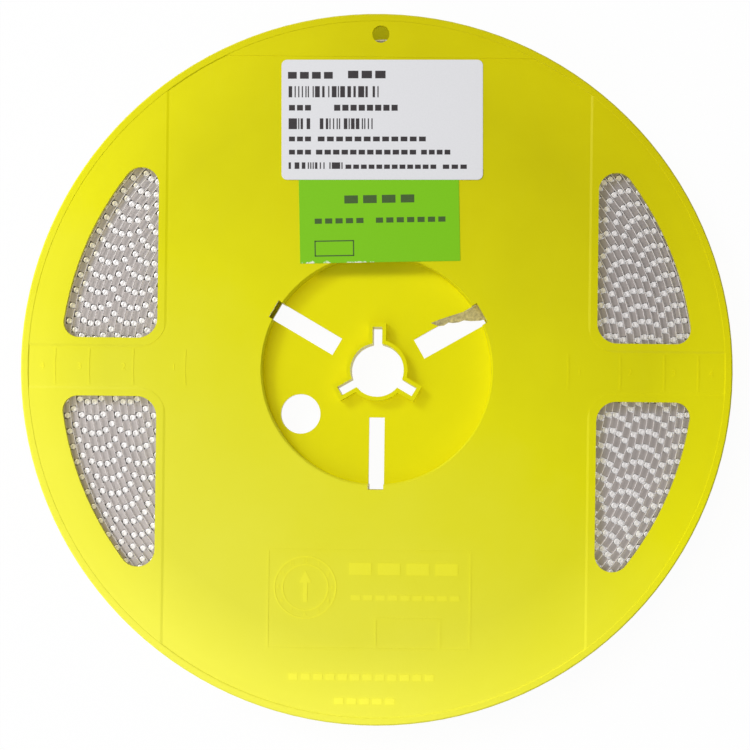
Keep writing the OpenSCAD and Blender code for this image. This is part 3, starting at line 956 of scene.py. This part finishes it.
class REEL_OT_labels(bpy.types.Operator):
    """Finishes both labels and lays their bars and dashes on them"""
    bl_idname = "reel.labels"
    bl_label = "Labels"

    def execute(self, context):
        finish = context.scene.reel_finishes
        for node, name, shade, scuff in (
                ("white_label", "Coated label paper", finish.paper, 0.0),
                ("green_label", "Dyed label paper", finish.green, 1.0)):
            lower_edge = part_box(node)[0][1]
            paint(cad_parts[node], label_paper(name, shade, finish.core, lower_edge, scuff))
        ink = printing_ink("Ribbon printed ink", finish.ink)
        print_on("white_print", mark_rows(WHITE_ROWS, INK, FIRST_SEED, ink), "white_label")
        ink = printing_ink("Screen printed ink", [c * PRINT_SHADE for c in finish.green])
        rows = mark_rows(GREEN_ROWS, INK, FIRST_SEED, ink)
        print_on("green_print", [*rows, printed_frame(ink)], "green_label")
        return {"FINISHED"}


class REEL_OT_relief(bpy.types.Operator):
    """Builds the fine moulded relief: numbers on the scale, a date dial and plain bars"""
    bl_idname = "reel.relief"
    bl_label = "Moulded relief"

    def execute(self, context):
        finish = context.scene.reel_finishes
        # Painted highlight: the raised marks are painted paler than the face around them.
        plastic = moulded_polystyrene(finish, "Rubbed moulded polystyrene", RELIEF_PAINTED_LIFT)
        made = []
        for side in (-1, 1):
            for number, radius in enumerate(SCALE_NUMBERS, 1):
                place = (side * radius, 0)
                made.append(raised_number(number, SCALE_NUMBER_SIZE, place, plastic))
        for number in range(1, 13):
            angle = math.radians(90 - 30 * number)
            place = (DIAL[0] + DIAL_NUMBERS * math.cos(angle),
                     DIAL[1] + DIAL_NUMBERS * math.sin(angle))
            made.append(raised_number(number, DIAL_NUMBER_SIZE, place, plastic))
        made += [raised_dial(plastic), *mark_rows(MOULDED_BARS, RELIEF, 0, plastic)]
        piece = join("moulded_relief", made)
        piece.data.transform(Matrix.Translation((0, 0, FACE_Z + RELIEF / 2)))
        keep(piece)
        return {"FINISHED"}


class REEL_OT_stage(bpy.types.Operator):
    """Sets the floor, the lamps and the camera"""
    bl_idname = "reel.stage"
    bl_label = "Stage"

    def execute(self, context):
        scene = context.scene
        form = bmesh.new()
        bmesh.ops.create_grid(form, x_segments=1, y_segments=1, size=FLOOR_REACH)
        floor = new_part("floor", form, floor_card())
        context.collection.objects.link(floor)

        world = bpy.data.worlds.new("Soft room")
        world.use_nodes = True
        background = world.node_tree.nodes["Background"]
        background.inputs["Color"].default_value = linear("FFFFFF")
        background.inputs["Strength"].default_value = ROOM_LIGHT
        scene.world = world
        for name, place, size, power in LAMPS:
            lamp = bpy.data.lights.new(name, "AREA")
            lamp.size = size
            lamp.energy = power
            holder = bpy.data.objects.new(name, lamp)
            holder.location = place
            holder.rotation_euler = (-Vector(place)).to_track_quat("-Z", "Y").to_euler()
            context.collection.objects.link(holder)

        camera = bpy.data.cameras.new("camera")
        camera.sensor_width = 36
        camera.lens = camera.sensor_width * EYE_DISTANCE / VIEW_WIDTH
        camera.shift_x, camera.shift_y = VIEW_SHIFT
        camera.clip_start = 0.01
        eye = bpy.data.objects.new("camera", camera)
        eye.location = (*EYE, FACE_Z + EYE_DISTANCE)
        eye.rotation_euler = (0, 0, math.radians(EYE_TURN))
        context.collection.objects.link(eye)
        scene.camera = eye
        scene.view_settings.view_transform = "Standard"
        return {"FINISHED"}


OPERATORS = (REEL_OT_halves, REEL_OT_tape, REEL_OT_diodes, REEL_OT_labels, REEL_OT_relief,
             REEL_OT_stage)
SETTINGS = {"reel_tape": ReelTapeSizes, "reel_diode": ReelDiodeSizes, "reel_finishes": ReelFinishes}


class REEL_PT_panel(bpy.types.Panel):
    """Lists the reel's operators and settings"""
    bl_idname = "REEL_PT_panel"
    bl_label = "Reel"
    bl_space_type = "VIEW_3D"
    bl_region_type = "UI"
    bl_category = "Reel"

    def draw(self, context):
        for operator in OPERATORS:
            self.layout.operator(operator.bl_idname)
        for name, group in SETTINGS.items():
            box = self.layout.box()
            for key in group.__annotations__:
                box.prop(getattr(context.scene, name), key)


def register():
    """Registers the classes and the settings on the scene."""
    for cls in (*SETTINGS.values(), *OPERATORS, REEL_PT_panel):
        bpy.utils.register_class(cls)
    for name, group in SETTINGS.items():
        setattr(bpy.types.Scene, name, bpy.props.PointerProperty(type=group))


def unregister():
    """Takes the settings and the classes away again."""
    for name in SETTINGS:
        delattr(bpy.types.Scene, name)
    for cls in reversed((*SETTINGS.values(), *OPERATORS, REEL_PT_panel)):
        bpy.utils.unregister_class(cls)


def main():
    """Builds every piece."""
    register()
    for operator in OPERATORS:
        group, name = operator.bl_idname.split(".")
        getattr(getattr(bpy.ops, group), name)()


if __name__ == "__main__":
    main()
